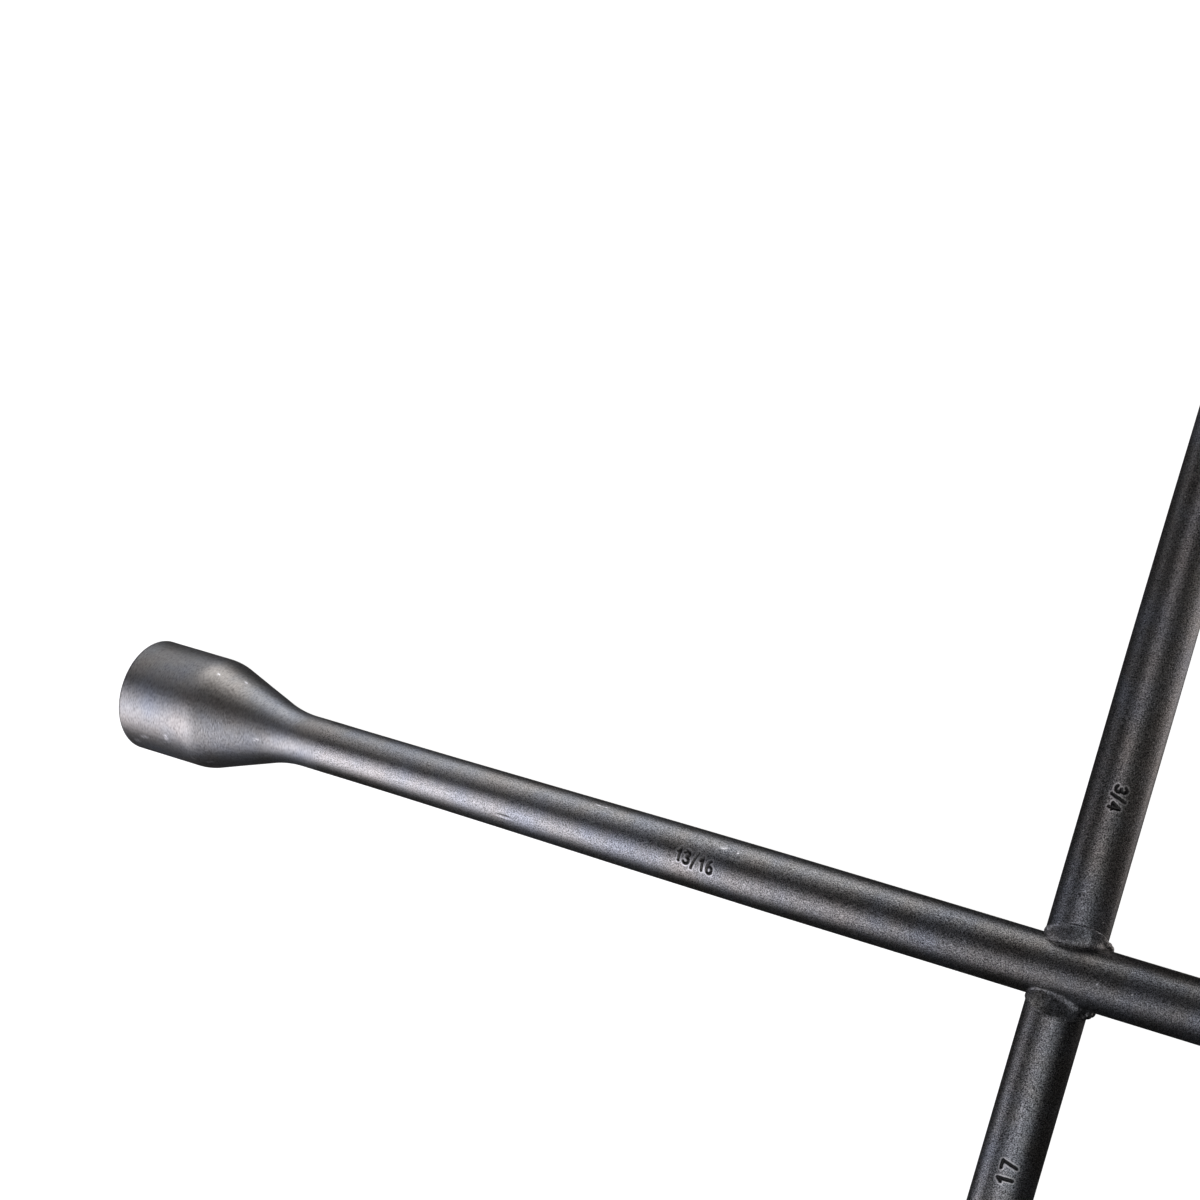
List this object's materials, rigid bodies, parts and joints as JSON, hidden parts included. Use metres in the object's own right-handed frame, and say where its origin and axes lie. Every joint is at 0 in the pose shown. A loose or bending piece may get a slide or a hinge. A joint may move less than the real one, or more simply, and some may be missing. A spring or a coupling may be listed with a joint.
{
  "type": "lug wrench",
  "caption": "Cross-shaped lug wrench: crossed steel bars welded at the middle, each end forged into a hex socket for a different wheel nut size.",
  "frame": {"origin": "where the centre lines of the two bars cross, which is the middle of the whole wrench", "axes": "+X along the long bar towards the 7/8 in socket, +Y along the cross bar towards the 3/4 in socket, +Z out of the face that carries the size stamps"},
  "size_m": [0.61, 0.61, 0.0324],
  "materials": {
    "black_steel": "satin black oxide over forged steel",
    "weld_steel": "black finished weld metal"
  },
  "bodies": {
    "root": {"long_bar": "black_steel", "cross_bar": "black_steel", "socket_13_16_in": "black_steel", "socket_7_8_in": "black_steel", "socket_3_4_in": "black_steel", "socket_17_mm": "black_steel", "weld_front_upper": "weld_steel", "weld_front_lower": "weld_steel", "weld_back_left": "weld_steel", "weld_back_right": "weld_steel"}
  },
  "joints": []
}
